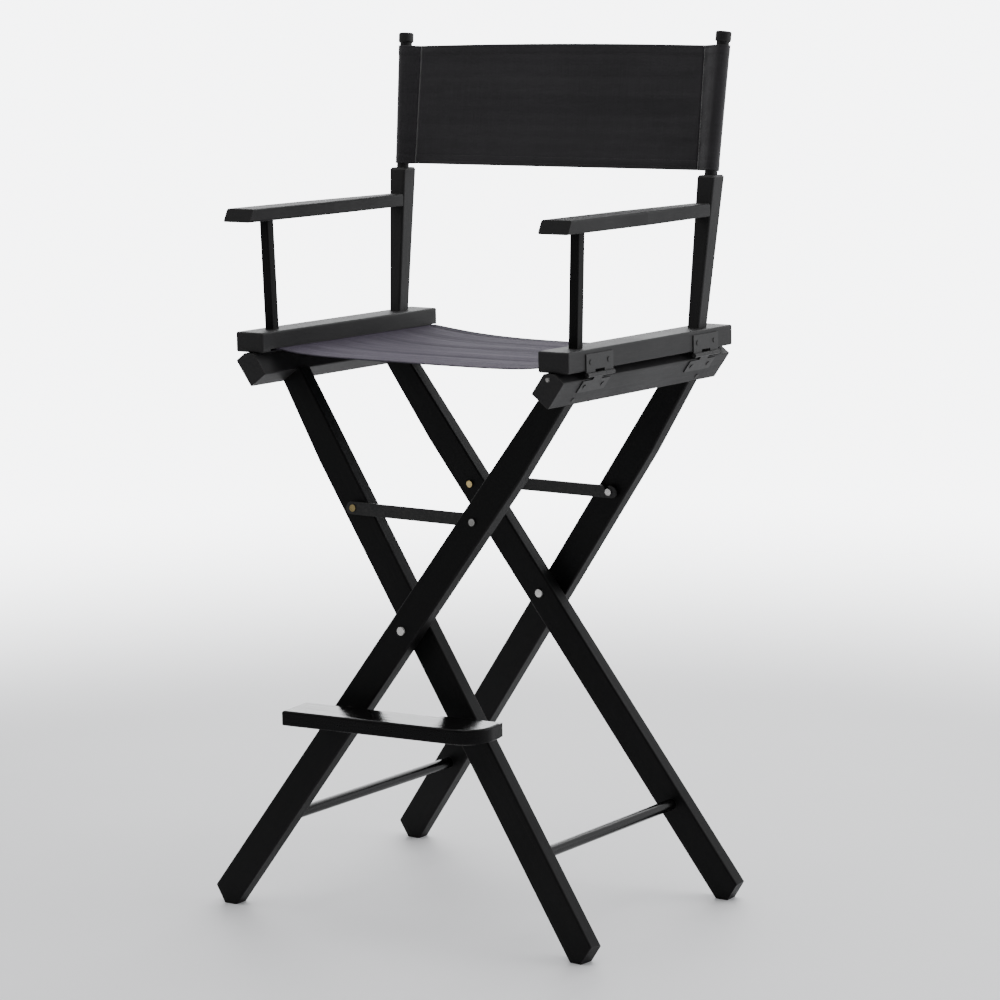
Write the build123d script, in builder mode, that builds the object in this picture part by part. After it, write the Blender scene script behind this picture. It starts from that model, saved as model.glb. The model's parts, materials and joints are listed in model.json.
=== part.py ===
from build123d import *
from math import cos, radians, sin, tan
import os

# Tall folding director chair: two crossed leg frames, two arm frames on hinges, slung canvas
# seat and back, and a footrest. Millimetres, +Z up, +X the chair's left, -Y the chair's front.
# The origin is on the floor, under the middle of the whole chair. Side -1 is at -X, side +1 at +X.

os.makedirs("parts", exist_ok=True)

# Crossed legs. Each leg's place is told by "along", the distance up the leg from the pivot, and
# "outward", the distance from its centre line towards the side that is outside at its top.
pivot_height = 401
leg_tilt = radians(36)
leg_width = 42
leg_thickness = 22
leg_top_outward = 15
taper_start = 270
foot_chamfer_start = -482.4
foot_chamfer_end = -491
front_splay = 0.08
rear_splay = -0.06
outer_front_y = -155.6
inner_front_y = -125.1
inner_rear_y = 155.9
outer_rear_y = 186.9
leg_depth = leg_thickness * (1 + front_splay**2) ** 0.5

# Lower rails, across the tops of the legs
lower_rail_inward = 16
lower_rail_bottom = 390.4
lower_rail_top = 432.4
lower_rail_front = -160
lower_rail_rear = 226.9
land_height = 752.6
tenon_width = 16
tenon_thickness = 12
tenon_top = 418

# Upper seat rails and arms
rail_outer = 270
rail_inner = 223.5
rail_bottom = 753
rail_top = 780
rail_front = -155.6
rail_rear = 228.4
rail_middle = (rail_front + rail_rear) / 2
arm_bottom = 926.5
arm_top = 944
arm_nose = 9
arm_width = 46
arm_rear_width = 27
arm_centre = 255.5
arm_wide_end = 13.4
arm_notch_depth = 3.4
front_post_size = 14
front_post_y = -106.6
front_post_base = 247.5
front_post_head = 252.5
tenon_depth = 16

# Back posts, uprights and their caps, which lean back and outwards
post_base = Vector(249, 173.9, rail_top)
post_head = Vector(256.3, 198.6, 980)
post_base_size = (18, 22)
post_head_size = (27, 27)
back_axis = (post_head - post_base).normalized()
upright_radius = 8.5
socket_depth = 36
upright_length = 216.5
cap_radius = 10.5
cap_height = 14
cap_socket = 6

# Butt hinges between the upper and the lower rails
hinge_x = 272
hinge_z = 748
hinge_length = 60
hinge_spacing = 248
leaf_thickness = 1.5
leaf_height = 23
knuckle_radius = 3
hinge_pin_radius = 1.5
running_clearance = 0.05
screw_radius = 1.5
screw_head_radius = 3.2
screw_head_height = 0.9
screw_length = 13

# Rivets, spacers and the folding links above the crossings
rivet_radius = 3.5
rivet_head_radius = 5.6
rivet_head_height = 1.8
head_gap = 0.8
spacer_radius = 9
link_along = 183
link_thickness = 3
link_height = 17
link_end = 12
link_pin_radius = 3
link_head_radius = 4.8
link_head_height = 1.2
slot_angle = 120
slot_reach = 24
slot_width = 6.8

# Stretcher dowels near the feet
dowel_along = -342
dowel_radius = 7.7
dowel_inset = 12

# Footrest. It stands at a slight angle, along the front faces of the two legs that carry it.
# Its own places are "across", from its hinge pin towards the right end, and "behind" its rear edge.
footrest_turn = radians(7)
footrest_left = -64.2
footrest_right = 231.4
footrest_depth = 58
footrest_bottom = 274
footrest_thickness = 20
footrest_corner = 38
footrest_square_corner = 4
strap_thickness = 3
footrest_along = -137.2
footrest_pin_z = pivot_height + footrest_along * cos(leg_tilt)
footrest_pin_x = footrest_along * sin(leg_tilt)
footrest_pin_y = outer_front_y + front_splay * footrest_along - 6.5
block_start = 140
block_depth = 8
peg_z = footrest_bottom - 4.5
peg_x = (pivot_height - peg_z) * tan(leg_tilt)
peg_front = -163.6
strap_length = 44
strap_height = footrest_thickness - 5
strap_z = footrest_bottom + footrest_thickness / 2
pin_head_height = 2
hole_depth = 70

# Canvas
canvas = 1.2
hem_rod_radius = 2.5
hem_x = 232.5
hem_z = 758.5
sling_z = hem_z - 2.6
sling_half = hem_x - 2
slot_height = 3
groove_start = rail_front + 16
hem_groove_radius = 4.3
seat_front = -127.1
seat_rear = 217.9
seat_sag = 5
sleeve_gap = 0.3
back_canvas_start = 5.5
back_canvas_end = 169

rail_end_place = (242, lower_rail_front, 745.5)

frame_names = {-1: "inner", 1: "outer"}
side_names = {-1: "left", 1: "right"}


def leg_plane(side, face_y, splay):
    """The front face of a leg, with its origin at the pivot and its Y direction up the leg."""
    up = Vector(side * sin(leg_tilt), splay, cos(leg_tilt)).normalized()
    across = Vector(cos(leg_tilt), 0, -side * sin(leg_tilt))
    return Plane(origin=(0, face_y, pivot_height), x_dir=across, z_dir=across.cross(up))


def frame_point(side, outward, along):
    """The X and Z of a place on a leg."""
    x = along * sin(leg_tilt) + outward * cos(leg_tilt)
    z = pivot_height + along * cos(leg_tilt) - outward * sin(leg_tilt)
    return side * x, z


def along_y(x, y, z):
    """A place for a round thing whose axis points towards the front."""
    return Plane(origin=(x, y, z), x_dir=(1, 0, 0), z_dir=(0, -1, 0))


def legs_of(side):
    """The name, front face and splay of the two legs of one frame."""
    if side < 0:
        return [("front", inner_front_y, front_splay), ("rear", inner_rear_y, rear_splay)]
    return [("front", outer_front_y, front_splay), ("rear", outer_rear_y, rear_splay)]


def leg_face(side, end, along):
    """The Y of a leg's front face at a distance along it."""
    for name, face_y, splay in legs_of(side):
        if name == end:
            return face_y + splay * along


def hinge_places():
    return [rail_middle - hinge_spacing / 2, rail_middle + hinge_spacing / 2]


def upper_screws(side):
    """Planes on the upper hinge leaves, facing outwards, one for each screw."""
    face = side * (rail_outer + leaf_thickness)
    return [
        Plane(origin=(face, middle + shift, rail_bottom + 11), x_dir=(0, 1, 0), z_dir=(side, 0, 0))
        for middle in hinge_places()
        for shift in (-20, 20)
    ]


def lower_facing(side):
    return Vector(side * cos(leg_tilt), 0, -sin(leg_tilt))


def lower_screws(side):
    """Planes on the lower hinge leaves, facing outwards, one for each screw."""
    x, z = frame_point(side, leg_top_outward + leaf_thickness, lower_rail_top - 11)
    return [
        Plane(origin=(x, middle + shift, z), x_dir=(0, 1, 0), z_dir=lower_facing(side))
        for middle in hinge_places()
        for shift in (-20, 20)
    ]


def leg_screws(side):
    """Planes on the lower rail's outer face, one for each screw through a leg's tenon."""
    x, z = frame_point(side, leg_top_outward, lower_rail_bottom + 9)
    return [
        Plane(origin=(x, leg_face(side, end, lower_rail_bottom) + leg_depth / 2, z),
              x_dir=(0, 1, 0), z_dir=lower_facing(side))
        for end in ("front", "rear")
    ]


def save(piece, name):
    piece.part.label = name
    export_step(piece.part, f"parts/{name}.step")


# ---- Legs -----------------------------------------------------------------------------------


def link_facing(splay):
    """A link swings in the plane that holds both the X direction and its leg's own direction."""
    return Vector(0, -cos(leg_tilt), splay).normalized()


def link_middle(end):
    """The Y of the middle of a link, half way between the two legs that it joins."""
    front_leg, back_leg = (1, -1) if end == "front" else (-1, 1)
    near = leg_face(front_leg, end, link_along) + leg_depth
    return (near + leg_face(back_leg, end, link_along)) / 2


def link_pin_plane(side, end, splay, distance):
    """A place on a link pin's axis, so far in front of the middle of the link."""
    x, z = frame_point(side, 0, link_along)
    facing = link_facing(splay)
    centre = Vector(x, link_middle(end), z) + facing * distance
    return Plane(origin=centre, x_dir=(1, 0, 0), z_dir=facing)


def footrest_plane(z):
    """The footrest's own plan, with its origin above the hinge pin, on the board's rear edge."""
    return Plane(
        origin=(footrest_pin_x, footrest_pin_y, z),
        x_dir=(cos(footrest_turn), sin(footrest_turn), 0),
        z_dir=(0, 0, 1),
    )


def footrest_pin_plane(forward, z=footrest_pin_z):
    """A place so far in front of the board's rear edge, for a round thing that points forwards."""
    facing = Vector(sin(footrest_turn), -cos(footrest_turn), 0)
    centre = Vector(footrest_pin_x, footrest_pin_y, z) + facing * forward
    return Plane(origin=centre, x_dir=(cos(footrest_turn), sin(footrest_turn), 0), z_dir=facing)


def holes_in_leg(side, end, splay):
    """The start and the radius of each hole that goes through a leg."""
    shaft = rivet_radius if side > 0 else rivet_radius + running_clearance
    holes = [
        (along_y(0, leg_face(side, end, 0) - 10, pivot_height), shaft),
        (link_pin_plane(side, end, splay, leg_thickness + 15), link_pin_radius),
    ]
    if end == "front" and side > 0:
        holes.append((footrest_pin_plane(30), link_pin_radius))
    if end == "front" and side < 0:
        holes.append((along_y(peg_x, inner_front_y - 30, peg_z), link_pin_radius))
    return holes


for side in (-1, 1):
    for end, face_y, splay in legs_of(side):
        face = leg_plane(side, face_y, splay)
        half = leg_width / 2
        under_rail = frame_point(side, 0, lower_rail_bottom)
        rail_underside = Plane(
            origin=(under_rail[0], 0, under_rail[1]),
            x_dir=(0, 1, 0),
            z_dir=(side * sin(leg_tilt), 0, cos(leg_tilt)),
        )
        with BuildPart() as leg:
            with BuildSketch(face):
                with BuildLine():
                    Polyline(
                        (-side * half, foot_chamfer_start),
                        (side * half, foot_chamfer_end - 8),
                        (side * half, taper_start),
                        (side * leg_top_outward, lower_rail_bottom),
                        (side * leg_top_outward, lower_rail_top),
                        (-side * half, lower_rail_top),
                        close=True,
                    )
                make_face()
            extrude(amount=-leg_thickness)
            split(bisect_by=rail_underside, keep=Keep.BOTTOM)
            split(bisect_by=Plane.XY, keep=Keep.TOP)
            long_edges = leg.edges().filter_by(lambda edge: edge.length > 60)
            fillet(long_edges, 2.5)
            with BuildSketch(face.offset(-(leg_thickness - tenon_thickness) / 2)):
                with Locations((0, (tenon_top + lower_rail_bottom - 10) / 2)):
                    Rectangle(tenon_width, tenon_top - lower_rail_bottom + 10)
            extrude(amount=-tenon_thickness)
            for start, radius in holes_in_leg(side, end, splay):
                with BuildSketch(start):
                    Circle(radius)
                extrude(amount=-hole_depth, mode=Mode.SUBTRACT)
            with BuildSketch(*leg_screws(side)):
                Circle(screw_radius)
            extrude(amount=-screw_length, mode=Mode.SUBTRACT)
            dowel_x, dowel_z = frame_point(side, 0, dowel_along)
            inner_face = leg_face(side, end, dowel_along)
            inner_face += leg_depth - dowel_inset if end == "front" else dowel_inset
            reach = -60 if end == "front" else 60
            with BuildSketch(along_y(dowel_x, inner_face, dowel_z)):
                Circle(dowel_radius)
            extrude(amount=reach, mode=Mode.SUBTRACT)
        save(leg, f"leg_{frame_names[side]}_{end}")


# ---- Lower rails and dowels ------------------------------------------------------------------

for side in (-1, 1):
    with BuildPart() as lower_rail:
        land_along = (land_height - pivot_height) / cos(leg_tilt)
        inner_corner = (-lower_rail_inward, land_along - lower_rail_inward * tan(leg_tilt))
        land_start = (lower_rail_top - land_along) / tan(leg_tilt)
        corners = [
            frame_point(side, leg_top_outward, lower_rail_bottom),
            frame_point(side, leg_top_outward, lower_rail_top),
            frame_point(side, land_start, lower_rail_top),
            frame_point(side, *inner_corner),
            frame_point(side, -lower_rail_inward, lower_rail_bottom),
        ]
        with BuildSketch(Plane.XZ.offset(-lower_rail_front)):
            with BuildLine():
                Polyline(*corners, close=True)
            make_face()
        extrude(amount=lower_rail_front - lower_rail_rear)
        fillet(lower_rail.edges().filter_by(Axis.Y), 1.5)
        for end, face_y, splay in legs_of(side):
            face = leg_plane(side, face_y, splay)
            with BuildSketch(face.offset(-(leg_thickness - tenon_thickness) / 2)):
                with Locations((0, (tenon_top + lower_rail_bottom - 10) / 2)):
                    Rectangle(tenon_width, tenon_top - lower_rail_bottom + 10)
            extrude(amount=-tenon_thickness, mode=Mode.SUBTRACT)
        with BuildSketch(*lower_screws(side)):
            Circle(screw_radius)
        extrude(amount=-screw_length, mode=Mode.SUBTRACT)
        with BuildSketch(*leg_screws(side)):
            Circle(screw_radius)
        extrude(amount=-screw_length, mode=Mode.SUBTRACT)
        if side > 0:
            with BuildSketch(along_y(*rail_end_place)):
                Circle(screw_radius + 1)
            extrude(amount=-screw_length - 5, mode=Mode.SUBTRACT)
    save(lower_rail, f"lower_rail_{side_names[side]}")

    dowel_x, dowel_z = frame_point(side, 0, dowel_along)
    dowel_front = leg_face(side, "front", dowel_along) + leg_depth - dowel_inset
    dowel_rear = leg_face(side, "rear", dowel_along) + dowel_inset
    with BuildPart() as dowel:
        with BuildSketch(along_y(dowel_x, dowel_front, dowel_z)):
            Circle(dowel_radius)
        extrude(amount=dowel_front - dowel_rear)
        chamfer(dowel.edges(), 1)
    save(dowel, f"stretcher_dowel_{frame_names[side]}")


# ---- Upper seat rails, arms and posts ------------------------------------------------------------


def front_post_plane(side, z):
    share = (z - rail_top) / (arm_bottom - rail_top)
    x = front_post_base + share * (front_post_head - front_post_base)
    return Plane(origin=(side * x, front_post_y, z))


for side in (-1, 1):
    with BuildPart() as seat_rail:
        with BuildSketch(Plane.XZ.offset(-rail_front)):
            with Locations((side * (rail_inner + rail_outer) / 2, (rail_bottom + rail_top) / 2)):
                Rectangle(rail_outer - rail_inner, rail_top - rail_bottom)
        extrude(amount=rail_front - rail_rear)
        fillet(seat_rail.edges(), 2.5)
        with BuildSketch(Plane.XZ.offset(-groove_start)):
            with Locations((side * hem_x, hem_z)):
                Circle(hem_groove_radius)
            with Locations((side * (hem_x + rail_inner - 6) / 2, sling_z)):
                Rectangle(hem_x - rail_inner + 6, slot_height)
        extrude(amount=groove_start - rail_rear, mode=Mode.SUBTRACT)
        with BuildSketch(Plane.XY.offset(rail_top)):
            with Locations((side * front_post_base, front_post_y)):
                Rectangle(front_post_size - 4, front_post_size - 4)
            with Locations((side * post_base.X, post_base.Y)):
                Rectangle(post_base_size[0] - 6, post_base_size[1] - 6)
        extrude(amount=-tenon_depth, mode=Mode.SUBTRACT)
        with BuildSketch(*upper_screws(side)):
            Circle(screw_radius)
        extrude(amount=-screw_length, mode=Mode.SUBTRACT)
    save(seat_rail, f"seat_rail_{side_names[side]}")

    with BuildPart() as front_post:
        with BuildSketch(front_post_plane(side, rail_top)):
            Rectangle(front_post_size, front_post_size)
        with BuildSketch(front_post_plane(side, arm_bottom)):
            Rectangle(front_post_size, front_post_size)
        loft()
        fillet(front_post.edges().filter_by(lambda edge: edge.length > 60), 2)
        with BuildSketch(front_post_plane(side, rail_top)):
            Rectangle(front_post_size - 4, front_post_size - 4)
        extrude(amount=-tenon_depth)
        with BuildSketch(front_post_plane(side, arm_bottom)):
            Circle(front_post_size / 2 - 2)
        extrude(amount=tenon_depth - 4)
    save(front_post, f"front_post_{side_names[side]}")

    head_width, head_depth = post_head_size
    base_width, base_depth = post_base_size
    head_plane = Plane(origin=(side * post_head.X, post_head.Y, post_head.Z))
    base_plane = Plane(origin=(side * post_base.X, post_base.Y, post_base.Z))
    lean = Vector(side * back_axis.X, back_axis.Y, back_axis.Z)
    head_centre = Vector(side * post_head.X, post_head.Y, post_head.Z)
    socket_plane = Plane(origin=head_centre - lean * socket_depth, z_dir=lean)

    with BuildPart() as back_post:
        with BuildSketch(base_plane):
            Rectangle(base_width, base_depth)
        with BuildSketch(head_plane):
            Rectangle(head_width, head_depth)
        loft()
        fillet(back_post.edges().filter_by(lambda edge: edge.length > 60), 3)
        chamfer(back_post.edges().group_by(Axis.Z)[-1], 2.5)
        with BuildSketch(base_plane):
            Rectangle(base_width - 6, base_depth - 6)
        extrude(amount=-tenon_depth)
        with BuildSketch(socket_plane):
            Circle(upright_radius)
        extrude(amount=socket_depth + 20, mode=Mode.SUBTRACT)
    save(back_post, f"back_post_{side_names[side]}")

    with BuildPart() as armrest:
        share = (arm_bottom - rail_top) / (post_head.Z - rail_top)
        arm_rear = post_base.Y + share * (post_head.Y - post_base.Y) - base_depth / 2 - arm_notch_depth
        rear_x = post_base.X + share * (post_head.X - post_base.X)
        with BuildSketch(Plane.XY.offset(arm_bottom)):
            with BuildLine():
                Polyline(
                    (side * (arm_centre - arm_width / 2), rail_front - arm_nose),
                    (side * (arm_centre + arm_width / 2), rail_front - arm_nose),
                    (side * (arm_centre + arm_width / 2), arm_wide_end),
                    (side * (rear_x + arm_rear_width / 2), arm_rear),
                    (side * (rear_x - arm_rear_width / 2), arm_rear),
                    (side * (arm_centre - arm_width / 2), arm_wide_end),
                    close=True,
                )
            make_face()
        extrude(amount=arm_top - arm_bottom)
        slope = Plane(
            origin=(0, rail_front - arm_nose, arm_bottom),
            x_dir=(1, 0, 0),
            z_dir=(0, arm_bottom - arm_top, arm_nose),
        )
        split(bisect_by=slope, keep=Keep.BOTTOM)
        fillet(armrest.edges().filter_by(lambda edge: edge.length > 60), 3)
        add(back_post.part, mode=Mode.SUBTRACT)
        with BuildSketch(front_post_plane(side, arm_bottom)):
            Circle(front_post_size / 2 - 2)
        extrude(amount=tenon_depth - 4, mode=Mode.SUBTRACT)
    save(armrest, f"armrest_{side_names[side]}")

    with BuildPart() as upright:
        with BuildSketch(socket_plane):
            Circle(upright_radius)
        extrude(amount=upright_length)
        chamfer(upright.edges(), 0.8)
    save(upright, f"back_upright_{side_names[side]}")

    with BuildPart() as cap:
        with BuildSketch(socket_plane.offset(upright_length - cap_socket)):
            Circle(cap_radius)
        extrude(amount=cap_height)
        fillet(cap.edges(), 2.5)
        add(upright.part, mode=Mode.SUBTRACT)
    save(cap, f"upright_cap_{side_names[side]}")

    with BuildPart() as hem_rod:
        with BuildSketch(along_y(side * hem_x, seat_front - 2, hem_z)):
            Circle(hem_rod_radius)
        extrude(amount=seat_front - seat_rear - 4)
        fillet(hem_rod.edges(), 1)
    save(hem_rod, f"seat_hem_rod_{side_names[side]}")


# ---- Hinges ------------------------------------------------------------------------------------

knuckle = hinge_length / 3
knuckle_length = knuckle - 0.4
leaf_middle = rail_outer + leaf_thickness / 2


for side in (-1, 1):
    with BuildPart() as upper_leaf:
        for middle in hinge_places():
            with BuildSketch(Plane.XZ.offset(hinge_length / 2 - middle)):
                with Locations((side * leaf_middle, rail_bottom + leaf_height / 2)):
                    Rectangle(leaf_thickness, leaf_height - 3)
            extrude(amount=-hinge_length)
            for shift in (-knuckle, knuckle):
                start = middle + shift - knuckle_length / 2
                with BuildSketch(Plane.XZ.offset(-start)):
                    with Locations((side * leaf_middle, (hinge_z + rail_bottom + 2) / 2)):
                        Rectangle(leaf_thickness, rail_bottom + 2 - hinge_z)
                extrude(amount=-knuckle_length)
                with BuildSketch(along_y(side * hinge_x, start, hinge_z)):
                    Circle(knuckle_radius)
                extrude(amount=-knuckle_length)
            with BuildSketch(along_y(side * hinge_x, middle - hinge_length, hinge_z)):
                Circle(hinge_pin_radius)
            extrude(amount=-2 * hinge_length, mode=Mode.SUBTRACT)
        with BuildSketch(*upper_screws(side)):
            Circle(screw_radius)
        extrude(amount=-screw_length, mode=Mode.SUBTRACT)
    save(upper_leaf, f"hinge_leaves_upper_{side_names[side]}")

    with BuildPart() as lower_leaf:
        hinge_along = lower_rail_top + 8
        for middle in hinge_places():
            with BuildSketch(along_y(side * hinge_x, middle - knuckle_length / 2, hinge_z)):
                Circle(knuckle_radius)
            extrude(amount=-knuckle_length)
            for bottom, top, length in (
                (lower_rail_top - 20, lower_rail_top - 1, hinge_length),
                (lower_rail_top - 4, hinge_along, knuckle_length),
            ):
                with BuildSketch(Plane.XZ.offset(-(middle - length / 2))):
                    with BuildLine():
                        Polyline(
                            frame_point(side, leg_top_outward, bottom),
                            frame_point(side, leg_top_outward + leaf_thickness, bottom),
                            frame_point(side, leg_top_outward + leaf_thickness, top),
                            frame_point(side, leg_top_outward, top),
                            close=True,
                        )
                    make_face()
                extrude(amount=-length)
            with BuildSketch(along_y(side * hinge_x, middle - hinge_length, hinge_z)):
                Circle(hinge_pin_radius + running_clearance)
            extrude(amount=-2 * hinge_length, mode=Mode.SUBTRACT)
        with BuildSketch(*lower_screws(side)):
            Circle(screw_radius)
        extrude(amount=-screw_length, mode=Mode.SUBTRACT)
    save(lower_leaf, f"hinge_leaves_lower_{side_names[side]}")

    with BuildPart() as hinge_pins:
        for middle in hinge_places():
            with BuildSketch(along_y(side * hinge_x, middle - hinge_length / 2, hinge_z)):
                Circle(hinge_pin_radius)
            extrude(amount=-hinge_length)
    save(hinge_pins, f"hinge_pins_{side_names[side]}")

    for name, planes in (
        ("hinge_screws_upper", upper_screws(side)),
        ("hinge_screws_lower", lower_screws(side)),
        ("leg_screws", leg_screws(side)),
    ):
        with BuildPart() as screws:
            for plane in planes:
                with BuildSketch(plane):
                    Circle(screw_radius)
                extrude(amount=-screw_length)
                with BuildSketch(plane):
                    Circle(screw_head_radius)
                extrude(amount=screw_head_height)
        save(screws, f"{name}_{side_names[side]}")


# ---- Pivot rivets and spacers --------------------------------------------------------------------

front_legs = (outer_front_y, inner_front_y)
rear_legs = (inner_rear_y, outer_rear_y)

with BuildPart() as pivot_rivets:
    for near, far in (front_legs, rear_legs):
        start = near - head_gap
        finish = far + leg_depth + head_gap
        with BuildSketch(along_y(0, start, pivot_height)):
            Circle(rivet_radius)
        extrude(amount=start - finish)
        with BuildSketch(along_y(0, start - rivet_head_height, pivot_height)):
            Circle(rivet_head_radius)
        extrude(amount=-rivet_head_height, taper=-20)
        with BuildSketch(along_y(0, finish, pivot_height)):
            Circle(rivet_head_radius)
        extrude(amount=-rivet_head_height, taper=20)
save(pivot_rivets, "pivot_rivets")

with BuildPart() as pivot_spacers:
    for near, far in (front_legs, rear_legs):
        start = near + leg_depth + head_gap
        with BuildSketch(along_y(0, start, pivot_height)):
            Circle(spacer_radius)
            Circle(rivet_radius, mode=Mode.SUBTRACT)
        extrude(amount=start - far + head_gap)
save(pivot_spacers, "pivot_spacers")

with BuildPart() as rail_end_screw:
    with BuildSketch(along_y(*rail_end_place)):
        Circle(screw_radius + 1)
    extrude(amount=-screw_length - 5)
    with BuildSketch(along_y(*rail_end_place)):
        Circle(screw_head_radius)
    extrude(amount=screw_head_height + 0.6, taper=20)
save(rail_end_screw, "rail_end_screw")


# ---- Folding links --------------------------------------------------------------------------------

link_span = 2 * link_along * sin(leg_tilt)
slot_middle = (
    link_span + slot_reach / 2 * cos(radians(slot_angle)),
    slot_reach / 2 * sin(radians(slot_angle)),
)

for end, splay in (("front", front_splay), ("rear", rear_splay)):
    with BuildPart() as link_bar:
        with BuildSketch(link_pin_plane(-1, end, splay, link_thickness / 2)):
            with Locations((link_span / 2, 0)):
                SlotOverall(link_span + 2 * link_end, link_height)
            Circle(link_pin_radius + running_clearance, mode=Mode.SUBTRACT)
            with Locations(slot_middle):
                SlotCenterToCenter(slot_reach, slot_width, rotation=slot_angle, mode=Mode.SUBTRACT)
        extrude(amount=-link_thickness)
    save(link_bar, f"link_bar_{end}")

for side, name in ((-1, "link_pins"), (1, "link_studs")):
    with BuildPart() as link_pin:
        for end, splay in (("front", front_splay), ("rear", rear_splay)):
            free_end = link_thickness / 2 + head_gap
            leg_end = leg_face(-side, end, link_along) - leg_face(side, end, link_along)
            leg_end = (abs(leg_end) + leg_depth) / 2 + head_gap + 0.8
            leg_in_front = (side > 0) == (end == "front")
            front_reach = leg_end if leg_in_front else free_end
            rear_reach = free_end if leg_in_front else leg_end
            with BuildSketch(link_pin_plane(side, end, splay, front_reach)):
                Circle(link_pin_radius)
            extrude(amount=-front_reach - rear_reach)
            with BuildSketch(link_pin_plane(side, end, splay, front_reach)):
                Circle(link_head_radius)
            extrude(amount=link_head_height)
            with BuildSketch(link_pin_plane(side, end, splay, -rear_reach)):
                Circle(link_head_radius)
            extrude(amount=-link_head_height)
    save(link_pin, name)


# ---- Footrest ---------------------------------------------------------------------------------------

footrest_length = footrest_right - footrest_left
with BuildPart() as footrest_board:
    with BuildSketch(footrest_plane(footrest_bottom)):
        with Locations(((footrest_left + footrest_right) / 2, -footrest_depth / 2)):
            Rectangle(footrest_length, footrest_depth)
        front_corners = vertices().group_by(Axis.Y)[0]
        fillet(front_corners.sort_by(Axis.X)[-1], footrest_corner)
        fillet(vertices().sort_by(Axis.X)[0], footrest_square_corner)
    extrude(amount=footrest_thickness)
    fillet(footrest_board.edges().group_by(Axis.Z)[-1], 3)
    fillet(footrest_board.edges().group_by(Axis.Z)[0], 2)
save(footrest_board, "footrest_board")

with BuildPart() as footrest_block:
    with BuildSketch(footrest_plane(footrest_bottom + 1)):
        with Locations(((block_start + footrest_right - 1) / 2, block_depth / 2)):
            Rectangle(footrest_right - 1 - block_start, block_depth)
    extrude(amount=footrest_thickness - 2)
save(footrest_block, "footrest_block")

with BuildPart() as footrest_strap:
    with BuildSketch(footrest_pin_plane(0, strap_z)):
        Rectangle(strap_length, strap_height)
    extrude(amount=-strap_thickness)
    with BuildSketch(footrest_pin_plane(0)):
        Circle(link_pin_radius + running_clearance)
    extrude(amount=-strap_thickness, mode=Mode.SUBTRACT)
save(footrest_strap, "footrest_strap")

with BuildPart() as footrest_pin:
    shank = leg_depth + 8
    with BuildSketch(footrest_pin_plane(-0.4)):
        Circle(link_pin_radius)
    extrude(amount=-shank)
    with BuildSketch(footrest_pin_plane(-0.4 - shank)):
        Circle(link_head_radius)
    extrude(amount=-pin_head_height)
save(footrest_pin, "footrest_pin")

with BuildPart() as footrest_peg:
    peg_end = inner_front_y + 4
    with BuildSketch(along_y(peg_x, peg_front, peg_z)):
        Circle(link_pin_radius)
    extrude(amount=peg_front - peg_end)
save(footrest_peg, "footrest_peg")


# ---- Canvas seat and back -----------------------------------------------------------------------------


def sling_edge(drop):
    """The sagging line of the seat, lowered by half of the canvas's thickness or raised by it."""
    return [
        (-sling_half, sling_z + drop),
        (-rail_inner, sling_z + drop),
        (-rail_inner * 0.7, sling_z - seat_sag * 0.6 + drop),
        (0, sling_z - seat_sag + drop),
        (rail_inner * 0.7, sling_z - seat_sag * 0.6 + drop),
        (rail_inner, sling_z + drop),
        (sling_half, sling_z + drop),
    ]


with BuildPart() as seat_canvas:
    with BuildSketch(Plane.XZ.offset(-seat_front)):
        with BuildLine():
            lower = Spline(*sling_edge(-canvas / 2))
            upper = Spline(*sling_edge(canvas / 2))
            Line(lower @ 0, upper @ 0)
            Line(lower @ 1, upper @ 1)
        make_face()
        with Locations((-hem_x, hem_z), (hem_x, hem_z)):
            Circle(hem_rod_radius + 1.4)
    extrude(amount=seat_front - seat_rear)
    for x in (-hem_x, hem_x):
        with BuildSketch(along_y(x, seat_front, hem_z)):
            Circle(hem_rod_radius + 0.3)
        extrude(amount=seat_front - seat_rear, mode=Mode.SUBTRACT)
save(seat_canvas, "seat_canvas")


def upright_centre(side, distance):
    """A place on the axis of a back upright, by its distance above the post's head."""
    return Vector(
        side * (post_head.X + back_axis.X * distance),
        post_head.Y + back_axis.Y * distance,
        post_head.Z + back_axis.Z * distance,
    )


back_lean = Vector(0, back_axis.Y, back_axis.Z).normalized()
sleeve_inner = upright_radius + sleeve_gap
sleeve_outer = sleeve_inner + canvas
back_middle = Vector(0, post_head.Y, post_head.Z)
back_plane = Plane(origin=back_middle, x_dir=(1, 0, 0), z_dir=Vector(1, 0, 0).cross(back_lean))


def on_back(side, distance):
    """The same place in the plane of the back canvas."""
    place = back_plane.to_local_coords(upright_centre(side, distance))
    return place.X, place.Y


with BuildPart() as back_canvas:
    with BuildSketch(back_plane.offset(canvas / 2)):
        with BuildLine():
            Polyline(
                on_back(-1, back_canvas_start),
                on_back(1, back_canvas_start),
                on_back(1, back_canvas_end),
                on_back(-1, back_canvas_end),
                close=True,
            )
        make_face()
    extrude(amount=-canvas)
    for side in (-1, 1):
        axis = upright_centre(side, 1) - upright_centre(side, 0)
        sleeve_plane = Plane(origin=upright_centre(side, back_canvas_start), z_dir=axis)
        with BuildSketch(sleeve_plane):
            Circle(sleeve_outer)
        extrude(amount=back_canvas_end - back_canvas_start)
    for side in (-1, 1):
        axis = upright_centre(side, 1) - upright_centre(side, 0)
        sleeve_plane = Plane(origin=upright_centre(side, back_canvas_start - 9), z_dir=axis)
        with BuildSketch(sleeve_plane):
            Circle(sleeve_inner)
        extrude(amount=back_canvas_end - back_canvas_start + 20, mode=Mode.SUBTRACT)
save(back_canvas, "back_canvas")
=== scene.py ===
import json
import math
import random

import bmesh
import bpy
from mathutils import Matrix, Vector


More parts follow.
